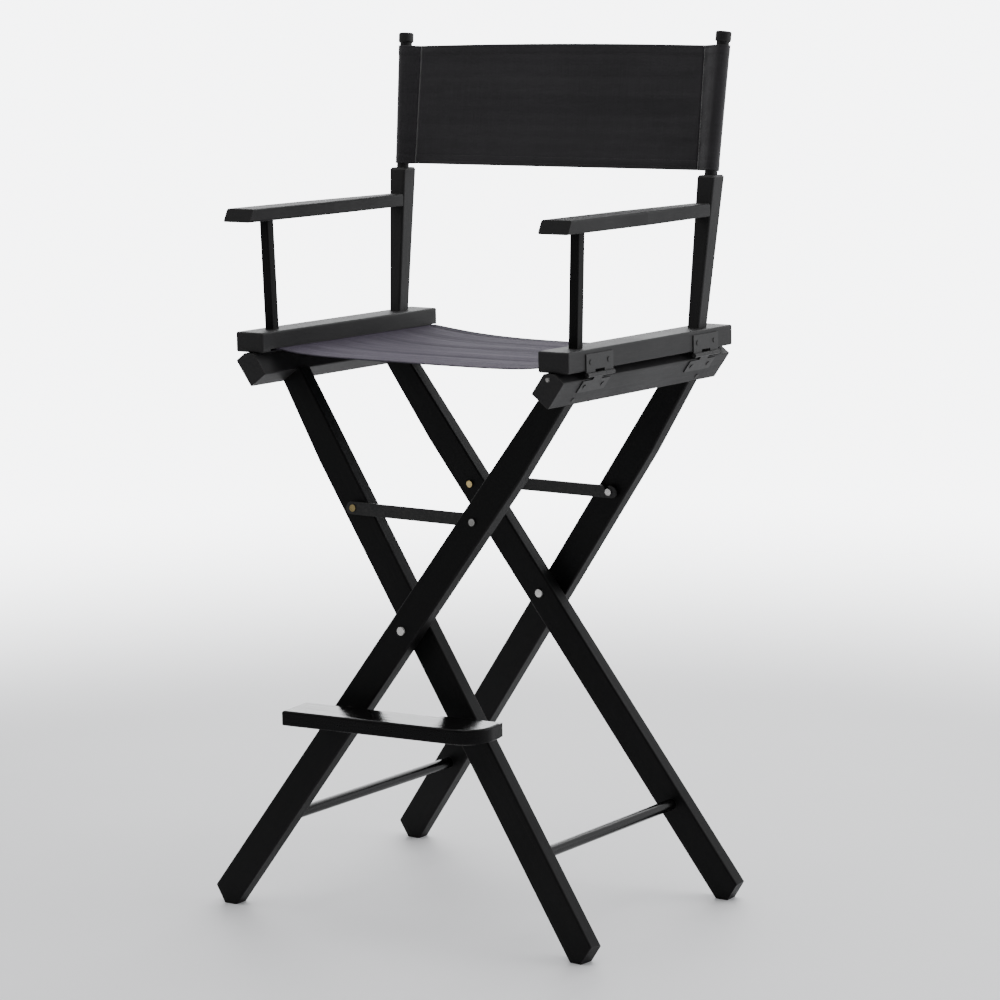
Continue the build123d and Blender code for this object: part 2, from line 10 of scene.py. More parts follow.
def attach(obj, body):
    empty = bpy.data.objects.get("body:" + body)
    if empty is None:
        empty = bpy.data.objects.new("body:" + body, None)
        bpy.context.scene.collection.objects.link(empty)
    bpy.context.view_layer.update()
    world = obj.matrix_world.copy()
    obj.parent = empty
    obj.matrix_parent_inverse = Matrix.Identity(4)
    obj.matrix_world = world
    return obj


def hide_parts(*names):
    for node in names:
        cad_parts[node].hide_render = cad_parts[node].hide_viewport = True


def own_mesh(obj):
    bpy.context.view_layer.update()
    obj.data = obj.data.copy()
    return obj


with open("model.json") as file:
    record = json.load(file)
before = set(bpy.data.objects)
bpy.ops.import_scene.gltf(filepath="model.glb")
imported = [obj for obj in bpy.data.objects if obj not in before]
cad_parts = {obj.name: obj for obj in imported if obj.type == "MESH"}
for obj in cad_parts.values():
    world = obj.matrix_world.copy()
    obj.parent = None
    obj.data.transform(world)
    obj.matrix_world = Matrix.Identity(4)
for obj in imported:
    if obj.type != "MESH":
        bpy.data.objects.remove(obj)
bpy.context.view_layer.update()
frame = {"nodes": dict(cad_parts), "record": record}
random.seed(11)

# Main dimensions, in metres, the same as the CAD model's
LEG_TILT = math.radians(36)
FRONT_SPLAY = 0.08
REAR_SPLAY = -0.06
CLOTH = 0.0011                 # thickness of the canvas

CAMERA_PLACE = (2.5406, -3.4170, 1.2295)
CAMERA_TURNS = (36.1, 9.04, -0.9)       # azimuth, elevation and roll, in degrees
CAMERA_LENS = 116.2
BACKDROP = 6.6                 # brightness of the plain backdrop
ROOM_LIGHT = (0.26, 1.45)      # strength of the surroundings, in front of the chair and behind it
ROOM_REACH = (-0.5, 0.7)       # how far towards the rear the light begins and ends to grow
FLOOR_HALF = 14
FLOOR_FADE = (1.2, 3.6)        # distances at which the floor begins and ends to thin out

HEM_X = 0.2325                 # seat hem rods
HEM_Z = 0.7585
SEAT_FRONT = -0.1271
SEAT_REAR = 0.2179
FRONT_SAG = 0.0066             # the seat sags more towards its rear edge
REAR_SAG = 0.0130
FRONT_SAG_POWER = 6            # the front edge is flat between the rails, the rear one round
REAR_SAG_POWER = 2.6
RAIL_FOLDS_REACH = 0.045       # the small folds at the rails die away over this distance
SEAT_LOOP = 0.0033             # middle of the canvas around a hem rod
SEAT_PANEL_HALF = 0.2195       # the seat between the rails
SEAT_UPPER = HEM_Z - 0.0020
SEAT_LOWER = HEM_Z - 0.0033
SEAT_LOOP_START = 0.2255       # where the cloth leaves the flat for the rod
SEAT_LOOP_RETURN = (0.2275, 0.2240, 0.2206)     # its lower layer, back to the seam

POST_BASE = Vector((0.249, 0.1739, 0.780))
POST_HEAD = Vector((0.2563, 0.1986, 0.980))
BACK_START = 0.0055            # the back canvas, from the heads of the posts up
BACK_END = 0.1700
BACK_CROWN = 0.0026            # how far the top edge rises in its middle
BACK_BOW = 0.0035              # how far the middle of the panel is pressed to the rear
SLEEVE_FOLDS_REACH = 0.03      # the small folds at the sleeves die away over this distance
SLEEVE_RADIUS = 0.0096
SLEEVE_REACH = 0.0245          # from an upright's axis to its sleeve's seam, half way up
SLEEVE_SAG = 0.35              # how much the cloth between them curves, as a share

HEM_FOLD = 0.014
HEM_MARGIN = 0.006             # the closer rows of points go this far past a hem
HEM_PUFF = 0.00045
STITCH_ROWS = (HEM_FOLD - 0.0015, 0.0035)       # two rows of stitches, from a hemmed edge
STITCH_GROOVES = (0.00055, 0.00035)             # how deep each row pulls the cloth in
GROOVE_WIDTH = 0.0011
SEAM_ROWS = (0.0012, 0.0055)   # rows of stitches on a sleeve, from its seam
SEAM_LIFT = 0.00085
SEAM_SLOPE = 0.22
ROW_END = 0.001                # a row of stitches stops this far from the panel's side
# A stitch's shape: along it, its rise and its thickness, as shares
STITCH_SHAPE = ((0, -0.9, 0.5), (0.12, 0.35, 0.9), (0.5, 0.7, 1), (0.88, 0.35, 0.9), (1, -0.9, 0.5))
STITCH_CORNERS = 6

SEAT_SHADE_SPAN = (0.08, 0.33)           # painted shade: from the seat's front, where the darkening of its rear begins and where it is deepest
# Paint over wood: its dark and light tones and its broad streaks
PAINT = ((0.0055, 0.0053, 0.0058), (0.0120, 0.0116, 0.0122), (0.0105, 0.0100, 0.0104))
WORN_EDGE = (0.050, 0.048, 0.047)
EDGE_RADIUS = 0.0022
# A depth below 1 darkens the paint's tones: darker copies of one paint, as painted shade on the
# footrest, legs, front posts and stretchers
GLOSSY = {"rough": (0.10, 0.20), "specular": 0.09, "depth": 0.30, "polished": 0.34}
SHADED_LOOK = {"rough": (0.42, 0.60), "specular": 0.14, "depth": 0.25}
SATIN = {"specular": 0.26}
TURNED = {"rough": (0.14, 0.24), "specular": 0.24, "depth": 0.30}
BODIES = {-1: "left_arm", 1: "right_arm"}
SIDES = {-1: "left", 1: "right"}

back_axis = (POST_HEAD - POST_BASE).normalized()
back_up = Vector((0, back_axis.y, back_axis.z)).normalized()
back_front = Vector((0, -back_up.z, back_up.y))


# ---- Camera, light and floor ------------------------------------------------------------


def make_camera():
    azimuth, elevation, roll = [math.radians(turn) for turn in CAMERA_TURNS]
    back = Vector((
        math.sin(azimuth) * math.cos(elevation),
        -math.cos(azimuth) * math.cos(elevation),
        math.sin(elevation),
    ))
    right = Vector((math.cos(azimuth), math.sin(azimuth), 0))
    up = back.cross(right)
    turned_right = right * math.cos(roll) + up * math.sin(roll)
    turned_up = up * math.cos(roll) - right * math.sin(roll)
    data = bpy.data.cameras.new("camera")
    data.sensor_width = 36
    data.lens = CAMERA_LENS
    data.clip_end = 100
    camera = bpy.data.objects.new("camera", data)
    bpy.context.scene.collection.objects.link(camera)
    turn = Matrix((turned_right, turned_up, back)).transposed().to_4x4()
    camera.matrix_world = Matrix.Translation(CAMERA_PLACE) @ turn
    bpy.context.scene.camera = camera


def area_light(name, place, target, size, power, colour=(1, 1, 1)):
    data = bpy.data.lights.new(name, "AREA")
    data.shape = "RECTANGLE"
    data.size, data.size_y = size
    data.energy = power
    data.color = colour
    lamp = bpy.data.objects.new(name, data)
    bpy.context.scene.collection.objects.link(lamp)
    lamp.location = place
    lamp.rotation_euler = (Vector(target) - Vector(place)).to_track_quat("-Z", "Y").to_euler()
    lamp.visible_camera = False


def make_world():
    """A pale studio whose far side, behind the chair, is the brighter one."""
    world = bpy.data.worlds.new("studio")
    bpy.context.scene.world = world
    world.use_nodes = True
    tree = world.node_tree
    nodes, links = tree.nodes, tree.links
    background = nodes["Background"]
    place = nodes.new("ShaderNodeTexCoord")
    split = nodes.new("ShaderNodeSeparateXYZ")
    links.new(place.outputs["Generated"], split.inputs[0])
    strength = nodes.new("ShaderNodeMapRange")
    strength.inputs["From Min"].default_value, strength.inputs["From Max"].default_value = ROOM_REACH
    strength.inputs["To Min"].default_value, strength.inputs["To Max"].default_value = ROOM_LIGHT
    links.new(split.outputs["Y"], strength.inputs["Value"])
    seen = nodes.new("ShaderNodeLightPath").outputs["Is Camera Ray"]
    plain = nodes.new("ShaderNodeMix")
    plain.inputs["B"].default_value = BACKDROP
    links.new(seen, plain.inputs["Factor"])
    links.new(strength.outputs["Result"], plain.inputs["A"])
    links.new(plain.outputs["Result"], background.inputs["Strength"])
    background.inputs["Color"].default_value = (0.97, 0.98, 1.0, 1)


def fade_out(paint, start, end):
    """The floor thins out into the backdrop with distance from the middle."""
    distance = paint.nodes.new("ShaderNodeVectorMath")
    distance.operation = "LENGTH"
    paint.links.new(paint.place, distance.inputs[0])
    share = paint.nodes.new("ShaderNodeMapRange")
    share.interpolation_type = "SMOOTHSTEP"
    share.inputs["From Min"].default_value = start
    share.inputs["From Max"].default_value = end
    paint.links.new(distance.outputs["Value"], share.inputs["Value"])
    clear = paint.nodes.new("ShaderNodeBsdfTransparent")
    mixed = paint.nodes.new("ShaderNodeMixShader")
    paint.links.new(share.outputs["Result"], mixed.inputs["Fac"])
    paint.links.new(paint.base.outputs["BSDF"], mixed.inputs[1])
    paint.links.new(clear.outputs["BSDF"], mixed.inputs[2])
    paint.links.new(mixed.outputs["Shader"], paint.nodes["Material Output"].inputs["Surface"])


def make_stage():
    mesh = bpy.data.meshes.new("floor")
    half = FLOOR_HALF
    corners = [(-half, -half, 0), (half, -half, 0), (half, half, 0), (-half, half, 0)]
    mesh.from_pydata(corners, [], [(0, 1, 2, 3)])
    floor = bpy.data.objects.new("floor", mesh)
    bpy.context.scene.collection.objects.link(floor)
    paint = Shader("floor", (0.80, 0.80, 0.81), 0.6)
    paint.tone(paint.noise(1.6, detail=5), (0.84, 0.84, 0.85), (0.93, 0.93, 0.94))
    fade_out(paint, *FLOOR_FADE)
    mesh.materials.append(paint.material)
    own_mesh(floor)


def make_lights():
    area_light("window_behind", (-1.6, 3.4, 1.9), (0, 0, 0.6), (4.2, 2.6), 95, (0.98, 0.99, 1))
    area_light("window_right", (3.6, 2.2, 1.5), (0, 0, 0.7), (2.6, 2.4), 34)
    area_light("room_front", (-2.4, -3.0, 2.6), (0, 0, 0.6), (2.6, 2.0), 18, (1, 0.985, 0.96))
    area_light("ceiling", (0.2, 0.4, 3.4), (0, 0, 0), (3.0, 3.0), 48)


# ---- Materials -----------------------------------------------------------------------------


class Shader:
    """A principled material, with short names for the nodes that it is made of."""

    def __init__(self, name, colour, roughness, metallic=0.0):
        self.material = bpy.data.materials.new(name)
        self.material.use_nodes = True
        self.nodes = self.material.node_tree.nodes
        self.links = self.material.node_tree.links
        self.base = self.nodes["Principled BSDF"]
        self.set("Base Color", (*colour, 1))
        self.set("Roughness", roughness)
        self.set("Metallic", metallic)
        self.place = self.nodes.new("ShaderNodeTexCoord").outputs["Object"]

    def set(self, socket, value):
        self.base.inputs[socket].default_value = value

    def along(self, direction, stretch):
        """Object coordinates whose X runs along a direction and is stretched that many times."""
        turn = Vector(direction).to_track_quat("X", "Z").inverted().to_euler()
        turned = self.nodes.new("ShaderNodeMapping")
        turned.inputs["Rotation"].default_value = turn
        self.links.new(self.place, turned.inputs["Vector"])
        scaled = self.nodes.new("ShaderNodeMapping")
        scaled.inputs["Scale"].default_value = (1 / stretch, 1, 1)
        self.links.new(turned.outputs[0], scaled.inputs["Vector"])
        return scaled.outputs[0]

    def noise(self, scale, detail=3.0, place=None, rough=0.55):
        node = self.nodes.new("ShaderNodeTexNoise")
        node.inputs["Scale"].default_value = scale
        node.inputs["Detail"].default_value = detail
        node.inputs["Roughness"].default_value = rough
        self.links.new(place or self.place, node.inputs["Vector"])
        return node.outputs["Fac"]

    def mapped(self, value, low, high, start=0.0, end=1.0):
        node = self.nodes.new("ShaderNodeMapRange")
        node.inputs["From Min"].default_value = low
        node.inputs["From Max"].default_value = high
        node.inputs["To Min"].default_value = start
        node.inputs["To Max"].default_value = end
        self.links.new(value, node.inputs["Value"])
        return node.outputs["Result"]

    def math(self, kind, first, second=None):
        node = self.nodes.new("ShaderNodeMath")
        node.operation = kind
        for socket, value in zip(node.inputs, (first, second)):
            if isinstance(value, (int, float)):
                socket.default_value = value
            elif value is not None:
                self.links.new(value, socket)
        return node.outputs[0]

    def blend(self, *parts):
        """The sum of values, each one with its weight."""
        total = None
        for value, weight in parts:
            weighed = self.math("MULTIPLY", value, weight)
            total = weighed if total is None else self.math("ADD", total, weighed)
        return total

    def mixed(self, share, first, second):
        node = self.nodes.new("ShaderNodeMix")
        node.data_type = "RGBA"
        self.links.new(share, node.inputs["Factor"])
        for socket, value in ((node.inputs[6], first), (node.inputs[7], second)):
            if isinstance(value, tuple):
                socket.default_value = (*value, 1)
            else:
                self.links.new(value, socket)
        return node.outputs[2]

    def tone(self, share, first, second):
        colour = self.mixed(share, first, second)
        self.links.new(colour, self.base.inputs["Base Color"])
        return colour

    def roughen(self, value, low, high):
        self.links.new(self.mapped(value, 0.25, 0.75, low, high), self.base.inputs["Roughness"])

    def bump(self, height, depth, strength=1.0, after=None):
        node = self.nodes.new("ShaderNodeBump")
        node.inputs["Distance"].default_value = depth
        node.inputs["Strength"].default_value = strength
        self.links.new(height, node.inputs["Height"])
        if after is not None:
            self.links.new(after, node.inputs["Normal"])
        self.links.new(node.outputs["Normal"], self.base.inputs["Normal"])
        return node.outputs["Normal"]

    def edges(self, radius):
        """About 1 along worn edges and 0 on flat faces."""
        bevel = self.nodes.new("ShaderNodeBevel")
        bevel.samples = 4
        bevel.inputs["Radius"].default_value = radius
        shape = self.nodes.new("ShaderNodeNewGeometry")
        dot = self.nodes.new("ShaderNodeVectorMath")
        dot.operation = "DOT_PRODUCT"
        self.links.new(bevel.outputs[0], dot.inputs[0])
        self.links.new(shape.outputs["Normal"], dot.inputs[1])
        return self.mapped(dot.outputs["Value"], 0.995, 0.90, 0.0, 1.0)


def painted_wood(name, direction, rough=(0.46, 0.66), specular=0.34, depth=1.0, polished=None):
    """Satin black paint over open-grained wood, a little thin and shiny along the edges. Its top
    is polished by shoes, to the specular level that is given for it."""
    paint = Shader(name, (0.011, 0.011, 0.012), 0.4)
    fine = paint.noise(900, detail=4, place=paint.along(direction, 26), rough=0.62)
    broad = paint.noise(70, detail=3, place=paint.along(direction, 9))
    blotch = paint.noise(9, detail=3)
    grain = paint.mapped(fine, 0.36, 0.66)
    # painted shade: a depth below 1 gives a darker copy of the same paint
    dark, light, streak = [tuple(depth * c for c in shade) for shade in PAINT]
    body = paint.mixed(grain, dark, light)
    body = paint.mixed(paint.mapped(broad, 0.35, 0.7), body, streak)
    worn = paint.math("MULTIPLY", paint.edges(EDGE_RADIUS), paint.mapped(blotch, 0.35, 0.65, 0.1, 0.7))
    paint.tone(worn, body, WORN_EDGE)
    paint.roughen(paint.blend((fine, 0.6), (blotch, 0.5)), *rough)
    paint.set("Specular IOR Level", specular)
    if polished:
        split = paint.nodes.new("ShaderNodeSeparateXYZ")
        paint.links.new(paint.nodes.new("ShaderNodeNewGeometry").outputs["Normal"], split.inputs[0])
        top = paint.mapped(split.outputs["Z"], 0.5, 0.9, specular, polished)
        paint.links.new(top, paint.base.inputs["Specular IOR Level"])
    first = paint.bump(fine, 0.00016, 0.8)
    paint.bump(broad, 0.0007, 0.6, after=first)
    return paint.material


def canvas(name, dark, light, sheen, thread=0.0009, sheen_tint=(1, 1, 1), shaded_rear=None):
    """Plain-woven canvas: warp and weft threads from the UV map, slubs, and soft wear. Its far end
    is darkened by painted shade where a colour for the shaded rear is given."""
    cloth = Shader(name, dark, 0.82)
    weave_place = cloth.nodes.new("ShaderNodeTexCoord").outputs["UV"]
    split = cloth.nodes.new("ShaderNodeSeparateXYZ")
    cloth.links.new(weave_place, split.inputs[0])
    turn = math.pi / thread
    warp = cloth.math("SINE", cloth.math("MULTIPLY", split.outputs["X"], turn))
    weft = cloth.math("SINE", cloth.math("MULTIPLY", split.outputs["Y"], turn))
    over = cloth.math("MULTIPLY", warp, weft)
    height = cloth.mapped(over, -1, 1)
    slubs = []
    for scale in ((25, 420, 1), (420, 25, 1)):
        stretched = cloth.nodes.new("ShaderNodeMapping")
        stretched.inputs["Scale"].default_value = scale
        cloth.links.new(weave_place, stretched.inputs["Vector"])
        slubs.append(cloth.noise(1.0, detail=3, place=stretched.outputs[0]))
    both = cloth.blend((slubs[0], 0.5), (slubs[1], 0.5))
    wear = cloth.noise(11, detail=5, rough=0.62)
    share = cloth.blend(
        (height, 0.35), (cloth.mapped(both, 0.35, 0.65), 0.45), (cloth.mapped(wear, 0.3, 0.7), 0.3),
    )
    colour = cloth.tone(share, dark, light)
    # painted shade: the seat's rear is mixed towards a darker colour
    if shaded_rear:
        cloth.tone(cloth.mapped(split.outputs["Y"], *SEAT_SHADE_SPAN, 0.0, 0.8), colour, shaded_rear)
    cloth.roughen(both, 0.70, 0.92)
    cloth.set("Specular IOR Level", 0.25)
    cloth.set("Sheen Weight", sheen)
    cloth.set("Sheen Roughness", 0.45)
    cloth.set("Sheen Tint", (*sheen_tint, 1))
    first = cloth.bump(height, 0.00025, 0.7)
    cloth.bump(both, 0.00035, 0.8, after=first)
    return cloth.material


def metal(name, colour, rough, worn_colour, metallic=1.0):
    """Turned or pressed metal with fine scratches and a little dulling."""
    shine = Shader(name, colour, rough, metallic)
    scratch = shine.noise(2600, detail=2, place=shine.along((1, 0.3, 0.2), 14))
    dull = shine.noise(240, detail=4, rough=0.6)
    shine.tone(shine.mapped(dull, 0.42, 0.72), colour, worn_colour)
    shine.roughen(shine.blend((scratch, 0.5), (dull, 0.5)), rough * 0.75, rough * 1.4)
    shine.bump(scratch, 0.00003, 0.6)
    return shine.material


def leg_direction(side, end):
    splay = FRONT_SPLAY if end == "front" else REAR_SPLAY
    return (side * math.sin(LEG_TILT), splay, math.cos(LEG_TILT))


def grain_of(node):
    """The direction of the grain in a wooden piece, from its name."""
    for frame_name, side in (("inner", -1), ("outer", 1)):
        for end in ("front", "rear"):
            if node == f"leg_{frame_name}_{end}":
                return leg_direction(side, end)
    side = -1 if node.endswith("left") else 1
    if node.startswith(("back_post", "back_upright", "upright_cap")):
        return (side * back_axis.x, back_axis.y, back_axis.z)
    if node.startswith("front_post"):
        return (0, 0, 1)
    if node.startswith(("footrest_board", "footrest_block")):
        return (1, 0, 0)
    return (0, 1, 0)


def paint_nodes():
    slots = {part["node"]: part["material_slot"] for part in frame["record"]["subparts"]}
    black = metal("black_steel", (0.012, 0.012, 0.0125), 0.5, (0.03, 0.029, 0.028), 0.25)
    finishes = {
        "black_steel": black,
        "steel_rod": metal("steel_rod", (0.45, 0.45, 0.46), 0.3, (0.3, 0.3, 0.3)),
        "bright_steel": metal("bright_steel", (0.74, 0.73, 0.71), 0.22, (0.5, 0.49, 0.47)),
        "brass": metal("brass", (0.72, 0.56, 0.26), 0.24, (0.42, 0.32, 0.15)),
    }
    for node, obj in frame["nodes"].items():
        if slots[node] in ("seat_canvas", "back_canvas"):
            continue
        finish = finishes.get(slots[node])
        if finish is None:
            look = {}
            if node.startswith(("footrest_board", "footrest_block")):
                look = GLOSSY
            elif node.startswith("stretcher"):
                look = TURNED
            elif node.startswith(("leg_", "front_post")):
                look = SHADED_LOOK
            elif node.startswith("armrest"):
                look = SATIN
            finish = painted_wood("paint_" + node, grain_of(node), **look)
        obj.data.materials.clear()
        obj.data.materials.append(finish)


# ---- Cloth ------------------------------------------------------------------------------------


def new_piece(name, mesh, material):
    piece = bpy.data.objects.new(name, mesh)
    bpy.context.scene.collection.objects.link(piece)
    mesh.materials.append(material)
    return piece


def cloth_grid(name, place, across, down, material, thickness=CLOTH):
    """A closed sheet from a grid of points. place(u, v) gives a point, and u and v are metres."""
    rows = [[Vector(place(u, v)) for u in across] for v in down]
    bm = bmesh.new()
    uv_layer = bm.loops.layers.uv.new("UVMap")
    normals = grid_normals(rows)
    sides = []
    for sign in (1, -1):
        sides.append([
            [bm.verts.new(p + n * sign * thickness / 2) for p, n in zip(row, line)]
            for row, line in zip(rows, normals)
        ])
    last_u, last_v = len(across) - 1, len(down) - 1

    def quad(corners, spots):
        face = bm.faces.new(corners)
        face.smooth = True
        for loop, (i, j) in zip(face.loops, spots):
            loop[uv_layer].uv = (across[i], down[j])

    for top, grid in zip((True, False), sides):
        for j in range(last_v):
            for i in range(last_u):
                spots = [(i, j), (i + 1, j), (i + 1, j + 1), (i, j + 1)]
                if not top:
                    spots.reverse()
                quad([grid[b][a] for a, b in spots], spots)
    rim = [(i, 0) for i in range(last_u)] + [(last_u, j) for j in range(last_v)]
    rim += [(i, last_v) for i in range(last_u, 0, -1)] + [(0, j) for j in range(last_v, 0, -1)]
    upper, lower = sides
    for (a, b), (c, d) in zip(rim, rim[1:] + rim[:1]):
        quad([upper[d][c], upper[b][a], lower[b][a], lower[d][c]], [(c, d), (a, b), (a, b), (c, d)])
    bmesh.ops.recalc_face_normals(bm, faces=bm.faces)
    mesh = bpy.data.meshes.new(name)
    bm.to_mesh(mesh)
    bm.free()
    return new_piece(name, mesh, material)


def grid_normals(rows):
    lines = []
    for j, row in enumerate(rows):
        line = []
        for i in range(len(row)):
            across = row[min(i + 1, len(row) - 1)] - row[max(i - 1, 0)]
            down = rows[min(j + 1, len(rows) - 1)][i] - rows[max(j - 1, 0)][i]
            line.append(across.cross(down).normalized())
        lines.append(line)
    return lines


def spread(start, end, count):
    return [start + (end - start) * i / count for i in range(count + 1)]


def hem_steps(length, middle_count):
    """Distances along a hemmed side, closer together near the two stitched hems."""
    near = spread(0, HEM_FOLD + HEM_MARGIN, 14)
    middle = spread(HEM_FOLD + HEM_MARGIN, length - HEM_FOLD - HEM_MARGIN, middle_count)
    far = [length - x for x in reversed(near)]
    return near + middle[1:-1] + far


def hem_shape(v, length):
    """How far the cloth's face stands out near a folded and stitched edge."""
    edge = min(v, length - v)
    height = HEM_PUFF if edge < HEM_FOLD else 0.0
    for row, depth in zip(STITCH_ROWS, STITCH_GROOVES):
        height -= depth * math.exp(-((edge - row) / GROOVE_WIDTH) ** 2)
    return height


def waves(count, longest, shortest, height):
    """A seeded set of waves for the small folds of stretched cloth."""
    made = []
    for index in range(count):
        share = index / max(count - 1, 1)
        length = longest + (shortest - longest) * share
        length *= random.uniform(0.85, 1.15)
        made.append((2 * math.pi / length, random.uniform(0, 2 * math.pi),
                     height * random.uniform(0.6, 1.2) * (length / longest) ** 0.8,
                     random.uniform(-1, 1)))
    return made


def ripple(folds, v, u):
    return sum(h * math.sin(k * v + phase + drift * u * 9) for k, phase, h, drift in folds)


def stitches(name, lines, material, length=0.0028, gap=0.0014, radius=0.00028):
    """Rows of short raised threads. Each line is a list of (place, outward) pairs."""
    bm = bmesh.new()
    for line in lines:
        places = [place for place, _ in line]
        total = sum((b - a).length for a, b in zip(places, places[1:]))
        count = int(total / (length + gap))
        for index in range(count):
            start = index * (length + gap) + gap / 2
            a, out = point_along(line, start)
            b, out_end = point_along(line, start + length)
            add_stitch(bm, a, b, (out + out_end).normalized(), radius)
    mesh = bpy.data.meshes.new(name)
    bm.to_mesh(mesh)
    bm.free()
    return new_piece(name, mesh, material)


def point_along(line, distance):
    for (a, out_a), (b, out_b) in zip(line, line[1:]):
        step = (b - a).length
        if distance <= step:
            share = distance / step
            return a.lerp(b, share), out_a.lerp(out_b, share)
        distance -= step
    return line[-1]


def add_stitch(bm, a, b, out, radius):
    """A thread that comes up out of the cloth, lies on it and goes back in."""
    run = (b - a).normalized()
    side = run.cross(out).normalized()
    rings = []
    for share, rise, size in STITCH_SHAPE:
        centre = a.lerp(b, share) + out * radius * rise
        ring = []
        for corner in range(STITCH_CORNERS):
            turn = corner * 2 * math.pi / STITCH_CORNERS
            spoke = side * math.cos(turn) + out * math.sin(turn)
            ring.append(bm.verts.new(centre + spoke * radius * size))
        rings.append(ring)
    for first, second in zip(rings, rings[1:]):
        for corner in range(STITCH_CORNERS):
            face = bm.faces.new((first[corner], first[corner - 1], second[corner - 1], second[corner]))
            face.smooth = True
    bm.faces.new(rings[0])
    bm.faces.new(list(reversed(rings[-1])))


def distances_along(points):
    """How far along a line of points each one lies."""
    lengths = [0.0]
    for a, b in zip(points, points[1:]):
        lengths.append(lengths[-1] + math.dist(a, b))
    return lengths


def nearest(lengths, distance):
    """The number of the point that lies closest to a distance along its line."""
    return min(range(len(lengths)), key=lambda k: abs(lengths[k] - distance))


def hem_rows(length, half, place_on, outward):
    """Two rows of stitches along each hem of a panel, on the face that looks outward."""
    rows = []
    for offset in STITCH_ROWS:
        for v in (offset, length - offset):
            rows.append([
                (Vector(place_on(u, v)) + outward * CLOTH / 2, outward)
                for u in spread(-half + ROW_END, half - ROW_END, 90)
            ])
    return rows


def ride_on_arm(piece, side):
    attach(piece, BODIES[side])


def span_arms(pieces):
    """Pieces held between the two arms: they ride on the left one, each with a mesh of its own."""
    for piece in pieces:
        ride_on_arm(piece, -1)
        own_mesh(piece)


# ---- Seat ---------------------------------------------------------------------------------------

seat_length = SEAT_REAR - SEAT_FRONT
seat_folds = waves(9, 0.085, 0.011, 0.00048)
seat_edge_folds = waves(7, 0.040, 0.009, 0.00055)


def seat_height(x, v):
    """The height of the slung seat, lowest in the middle, with streaks from rail to rail."""
    share = min(abs(x) / SEAT_PANEL_HALF, 1)
    to_rear = v / seat_length
    sag = FRONT_SAG + (REAR_SAG - FRONT_SAG) * to_rear
    sag *= 1 - share ** (FRONT_SAG_POWER + (REAR_SAG_POWER - FRONT_SAG_POWER) * to_rear)
    edge = min(v, seat_length - v)
    sag *= 1 - 0.06 * math.exp(-edge / 0.03)
    free = 1 - share ** 6
    near_rail = math.exp(-((1 - share) * SEAT_PANEL_HALF) / RAIL_FOLDS_REACH)
    fold = ripple(seat_folds, v, x) + ripple(seat_edge_folds, v, x) * near_rail
    return SEAT_UPPER - sag + free * fold


def seat_place(u, v):
    lift = hem_shape(v, seat_length)
    return u, SEAT_FRONT + v, seat_height(u, v) + lift


def seat_loop(side):
    """The side hem of the seat, in its groove: over the rod, round it and back underneath."""
    points = [(SEAT_PANEL_HALF, SEAT_UPPER), (SEAT_LOOP_START, SEAT_UPPER)]
    for degrees in spread(144, -90, 12):
        turn = math.radians(degrees)
        points.append((HEM_X + SEAT_LOOP * math.cos(turn), HEM_Z + SEAT_LOOP * math.sin(turn)))
    points += [(x, SEAT_LOWER) for x in SEAT_LOOP_RETURN]
    return [(side * x, z) for x, z in points]


def seat_side(side, material):
    """One side hem, and the width of its cloth."""
    points = seat_loop(side)
    lengths = distances_along(points)
    start = side * SEAT_PANEL_HALF

    def place(u, v):
        x, z = points[nearest(lengths, abs(u - start))]
        return x, SEAT_FRONT + v, z

    loop = cloth_grid(
        f"seat_side_{SIDES[side]}", place, [start + side * d for d in lengths],
        spread(0, seat_length, 40), material, CLOTH * 0.9,
    )
    ride_on_arm(loop, side)
    return loop, lengths[-1]


def make_seat(material, thread):
    half = SEAT_PANEL_HALF
    across = spread(-half, half, 110)
    panel = cloth_grid("seat_panel", seat_place, across, hem_steps(seat_length, 130), material)
    loops = [seat_side(side, material) for side in (-1, 1)]
    rows = hem_rows(seat_length, half, seat_place, Vector((0, 0, 1)))
    seams = stitches("seat_stitching", rows, thread)
    span_arms((panel, seams))
    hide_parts("seat_canvas")


# ---- Back ---------------------------------------------------------------------------------------

back_length = BACK_END - BACK_START
back_folds = waves(6, 0.11, 0.018, 0.00065)
sleeve_folds = waves(6, 0.045, 0.010, 0.0006)


def upright_x(v):
    """Half of the distance between the uprights at a height on the back canvas."""
    return POST_HEAD.x + back_axis.x / back_up.length * (BACK_START + v)


BACK_PANEL_HALF = upright_x(back_length / 2) - SLEEVE_REACH


def on_back(x, out, v):
    """A place by its X, its distance in front of the uprights' plane and its height on the back."""
    base = Vector((0, POST_HEAD.y, POST_HEAD.z)) + back_up * (BACK_START + v)
    return base + Vector((x, 0, 0)) + back_front * out


def back_panel_place(u, v):
    """A place on the panel between the two sleeve seams: u is its X and v its height."""
    share = abs(u) / BACK_PANEL_HALF
    near_sleeve = math.exp(-(1 - share) * BACK_PANEL_HALF / SLEEVE_FOLDS_REACH)
    fold = ripple(back_folds, v, u) * (1 - share ** 8) * 0.8
    fold += ripple(sleeve_folds, v, u) * near_sleeve * (1 - share ** 12)
    bow = -BACK_BOW * (1 - share ** 2) * math.sin(math.pi * v / back_length)
    rise = BACK_CROWN * (1 - share ** 2) * v / back_length
    return on_back(u, hem_shape(v, back_length) + fold + bow, v + rise)


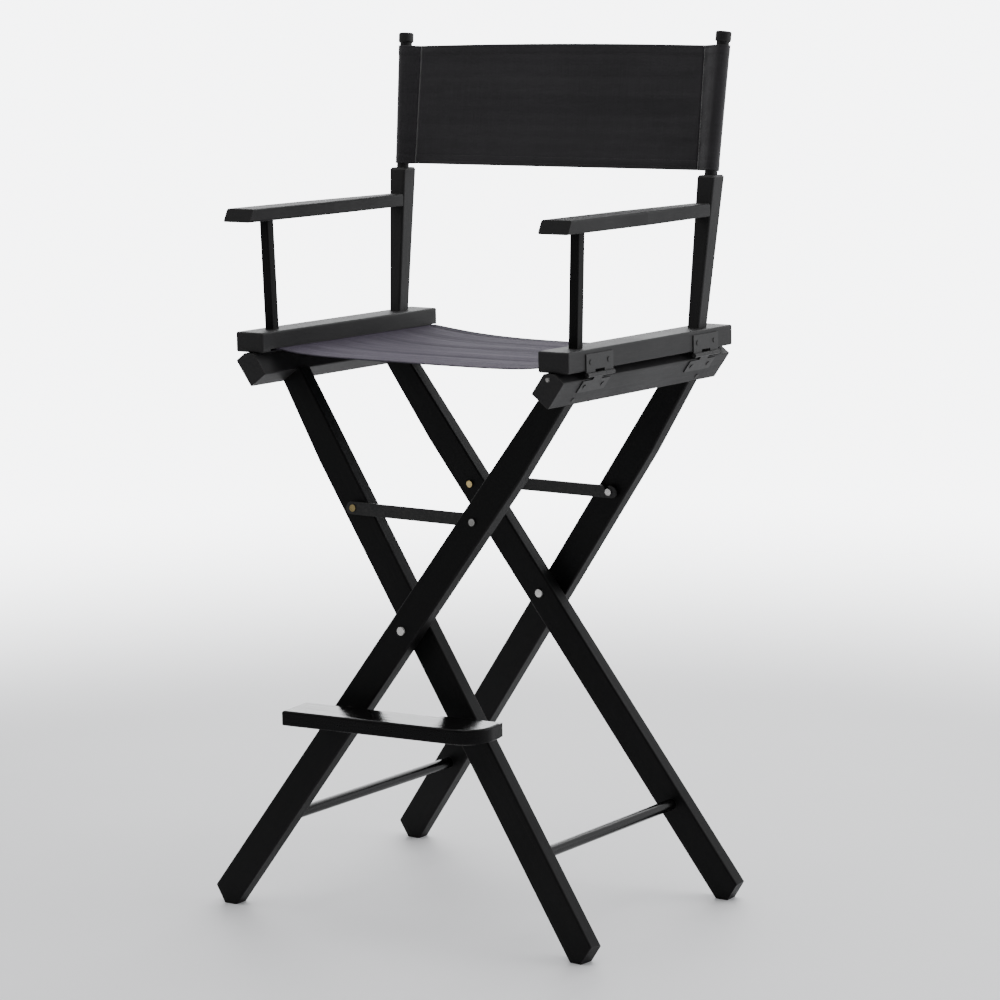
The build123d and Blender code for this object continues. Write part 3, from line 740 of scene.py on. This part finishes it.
def sleeve_points():
    """The section of a sleeve, from its seam over the upright and back: offsets from the upright's
    axis, outwards and to the front."""
    spread_angle = math.acos(SLEEVE_RADIUS / SLEEVE_REACH)
    start = (-SLEEVE_REACH, 0.0)
    tangent = (-SLEEVE_RADIUS * math.cos(spread_angle), SLEEVE_RADIUS * math.sin(spread_angle))
    points = []
    for share in spread(0, 1, 8):
        ease = share * share * (3 - 2 * share) * SLEEVE_SAG + share * (1 - SLEEVE_SAG)
        points.append((start[0] + (tangent[0] - start[0]) * share,
                       start[1] + (tangent[1] - start[1]) * ease))
    first = math.pi - spread_angle
    for turn in spread(first, -first, 24)[1:]:
        points.append((SLEEVE_RADIUS * math.cos(turn), SLEEVE_RADIUS * math.sin(turn)))
    bottom = points[-1]
    finish = (-SLEEVE_REACH, -CLOTH - 0.0004)
    for share in spread(0, 1, 8)[1:]:
        points.append((bottom[0] + (finish[0] - bottom[0]) * share,
                       bottom[1] + (finish[1] - bottom[1]) * share))
    return points


def back_sleeve(side, down, material, thread):
    """One sleeve with its two rows of stitches, and the width of its cloth. The panel's sides are
    upright and the chair's uprights lean, so the sleeve is wider towards its top."""
    section = sleeve_points()
    lengths = distances_along(section)
    front_points = 20

    def place(u, v):
        index = nearest(lengths, abs(u) - BACK_PANEL_HALF)
        outwards, out = section[index]
        if outwards < 0:
            outwards *= (upright_x(v) - BACK_PANEL_HALF) / SLEEVE_REACH
        lift = hem_shape(v, back_length)
        if index < front_points:
            pucker = ripple(sleeve_folds, v, side * BACK_PANEL_HALF) * 0.6
            pucker *= math.exp(-lengths[index] / 0.02) * min(1, lengths[index] / 0.004)
            out += pucker + lift
        else:
            out -= lift
        return on_back(side * (upright_x(v) + outwards), out, v)

    sleeve = cloth_grid(
        f"back_sleeve_{SIDES[side]}", place, [side * (BACK_PANEL_HALF + d) for d in lengths],
        down, material,
    )
    rows = []
    for inset in SEAM_ROWS:
        x = side * (BACK_PANEL_HALF + inset)
        rows.append([
            (on_back(x, SEAM_LIFT + inset * SEAM_SLOPE, v), back_front)
            for v in spread(0.002, back_length - 0.002, 40)
        ])
    seam = stitches(f"back_seam_{SIDES[side]}", rows, thread)
    for piece in (sleeve, seam):
        ride_on_arm(piece, side)
    return sleeve, seam, lengths[-1]


def make_back(material, thread):
    half = BACK_PANEL_HALF
    down = hem_steps(back_length, 70)
    panel = cloth_grid("back_panel", back_panel_place, spread(-half, half, 120), down, material)
    sleeves = [back_sleeve(side, down, material, thread) for side in (-1, 1)]
    rows = hem_rows(back_length, half, back_panel_place, back_front)
    seams = stitches("back_stitching", rows, thread)
    span_arms((panel, seams))
    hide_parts("back_canvas")


# ---- Everything ----------------------------------------------------------------------------------

make_camera()
make_world()
make_lights()
make_stage()
paint_nodes()
# the last colour is the painted shade on the seat's rear
seat_cloth = canvas("seat_cloth", (0.0165, 0.0143, 0.0195), (0.050, 0.0435, 0.059), 0.10,
                    sheen_tint=(0.78, 0.60, 1.0), shaded_rear=(0.006, 0.0053, 0.0071))
back_cloth = canvas("back_cloth", (0.0125, 0.0116, 0.0130), (0.036, 0.034, 0.038), 0.42)
thread = canvas("thread", (0.012, 0.012, 0.013), (0.05, 0.05, 0.052), 0.3, 0.0004)
make_seat(seat_cloth, thread)
make_back(back_cloth, thread)
